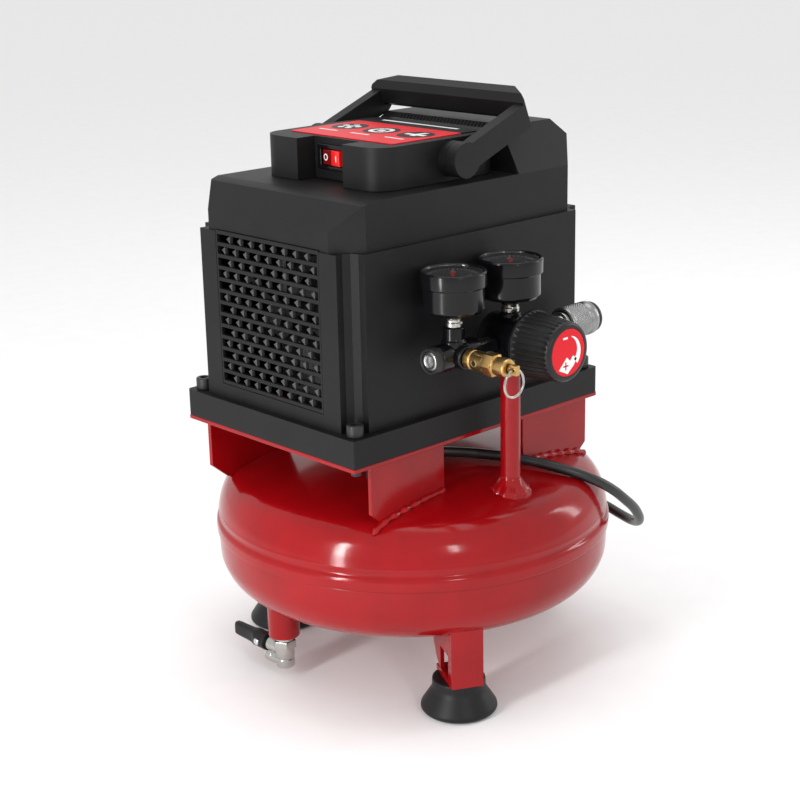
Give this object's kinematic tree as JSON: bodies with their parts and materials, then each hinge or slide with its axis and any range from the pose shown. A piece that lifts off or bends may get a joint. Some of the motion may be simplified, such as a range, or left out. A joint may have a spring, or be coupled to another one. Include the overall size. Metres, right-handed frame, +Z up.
{
  "type": "pancake air compressor",
  "caption": "Oil-free pancake air compressor: round tank on rubber feet, ventilated shroud over the pump, swinging carry handle, gauges, regulator, safety valve and quick coupler.",
  "frame": {"origin": "centre of the outline at the floor, without the power cord", "axes": "+Z up; the gauges face -Y and the intake grille faces -X"},
  "size_m": [0.286, 0.313, 0.3656],
  "materials": {
    "red_enamel": "gloss",
    "charcoal_plastic": "satin",
    "gloss_black": "gloss",
    "black_rubber": "matte",
    "nickel_plate": "polished",
    "brass": "polished",
    "black_oxide_steel": "satin",
    "zinc_plate": "satin",
    "red_plastic": "gloss",
    "label_film": "satin",
    "needle_paint": "satin",
    "clear_lens": "polished",
    "motor_steel": "satin",
    "cast_aluminium": "as cast",
    "copper_tube": "satin"
  },
  "bodies": {
    "base": {"tank_upper_shell": "red_enamel", "tank_lower_shell": "red_enamel", "platform": "red_enamel", "leg_front_left": "red_enamel", "leg_front_right": "red_enamel", "leg_rear_left": "red_enamel", "leg_rear_right": "red_enamel", "riser_post": "red_enamel", "drain_boss": "red_enamel", "foot_bracket_1": "red_enamel", "foot_bracket_2": "red_enamel", "foot_bracket_3": "red_enamel", "rubber_foot_1": "black_rubber", "rubber_foot_2": "black_rubber", "rubber_foot_3": "black_rubber", "power_cord": "black_rubber", "cord_coil": "black_rubber", "mains_plug": "black_rubber", "strain_relief": "black_rubber", "coil_tie": "black_rubber", "foot_bolt_1": "zinc_plate", "foot_bolt_2": "zinc_plate", "foot_bolt_3": "zinc_plate", "shroud": "charcoal_plastic", "grille_panel": "charcoal_plastic", "console": "charcoal_plastic", "corner_screw_1": "black_oxide_steel", "corner_screw_2": "black_oxide_steel", "corner_screw_3": "black_oxide_steel", "corner_screw_4": "black_oxide_steel", "console_label": "label_film", "switch_body": "gloss_black", "manifold_tee": "gloss_black", "regulator_body": "gloss_black", "gauge_case_1": "gloss_black", "gauge_case_2": "gloss_black", "tee_plug": "nickel_plate", "gauge_stem_1": "nickel_plate", "gauge_stem_2": "nickel_plate", "coupler_body": "nickel_plate", "drain_valve_body": "nickel_plate", "safety_valve_body": "brass", "gauge_lens_1": "clear_lens", "gauge_lens_2": "clear_lens", "motor_stator": "motor_steel", "pump_frame": "cast_aluminium", "cylinder_head": "cast_aluminium", "discharge_tube": "copper_tube"},
    "handle": {"carry_handle": "charcoal_plastic"},
    "rocker": {"switch_rocker": "red_plastic"},
    "knob": {"regulator_knob": "gloss_black"},
    "valve_stem": {"safety_valve_stem": "brass"},
    "ring": {"pull_ring": "nickel_plate"},
    "sleeve": {"coupler_sleeve": "nickel_plate"},
    "lever": {"drain_lever": "gloss_black"},
    "rotor": {"motor_rotor": "motor_steel", "cooling_fan": "black_rubber"},
    "piston": {"piston_rod": "cast_aluminium"},
    "needle_1": {"gauge_needle_1": "needle_paint"},
    "needle_2": {"gauge_needle_2": "needle_paint"}
  },
  "joints": [
    {"name": "handle_hinge", "type": "hinge", "parent": "base", "child": "handle", "pos_m": [-0.01305, 0.0094, 0.3293], "axis": [0, -1, 0], "range_deg": [0, 130]},
    {"name": "power_switch", "type": "hinge", "parent": "base", "child": "rocker", "pos_m": [-0.05505, 0.0084, 0.3295], "axis": [0, 0, 1], "range_deg": [0, 14]},
    {"name": "pressure_knob", "type": "hinge", "parent": "base", "child": "knob", "pos_m": [-0.00355, -0.1136, 0.2255], "axis": [0, -1, 0], "range_deg": [-720, 720]},
    {"name": "safety_stem_pull", "type": "slide", "parent": "base", "child": "valve_stem", "axis": [0, -1, 0], "range_m": [0, 0.003], "stiffness_N_per_m": 1500, "springref_m": -0.002},
    {"name": "ring_swing", "type": "hinge", "parent": "valve_stem", "child": "ring", "pos_m": [-0.05055, -0.1301, 0.2255], "axis": [1, 0, 0], "range_deg": [-50, 50]},
    {"name": "coupler_sleeve_slide", "type": "slide", "parent": "base", "child": "sleeve", "axis": [-1, 0, 0], "range_m": [0, 0.004], "stiffness_N_per_m": 800, "springref_m": -0.003},
    {"name": "drain_lever_turn", "type": "hinge", "parent": "base", "child": "lever", "pos_m": [-0.09405, 0.0534, 0.0195], "axis": [0, 1, 0], "range_deg": [0, 90]},
    {"name": "motor_spin", "type": "hinge", "parent": "base", "child": "rotor", "pos_m": [-0.00005, 0.0094, 0.24], "axis": [1, 0, 0], "continuous": true},
    {"name": "piston_stroke", "type": "slide", "parent": "base", "child": "piston", "axis": [0, 0, 1], "range_m": [-0.005, 0.005]},
    {"name": "gauge_1_needle", "type": "hinge", "parent": "base", "child": "needle_1", "pos_m": [-0.05055, -0.0836, 0.2716], "axis": [0, 0, -1], "range_deg": [0, 270]},
    {"name": "gauge_2_needle", "type": "hinge", "parent": "base", "child": "needle_2", "pos_m": [-0.00355, -0.0836, 0.2716], "axis": [0, 0, -1], "range_deg": [0, 270]}
  ]
}
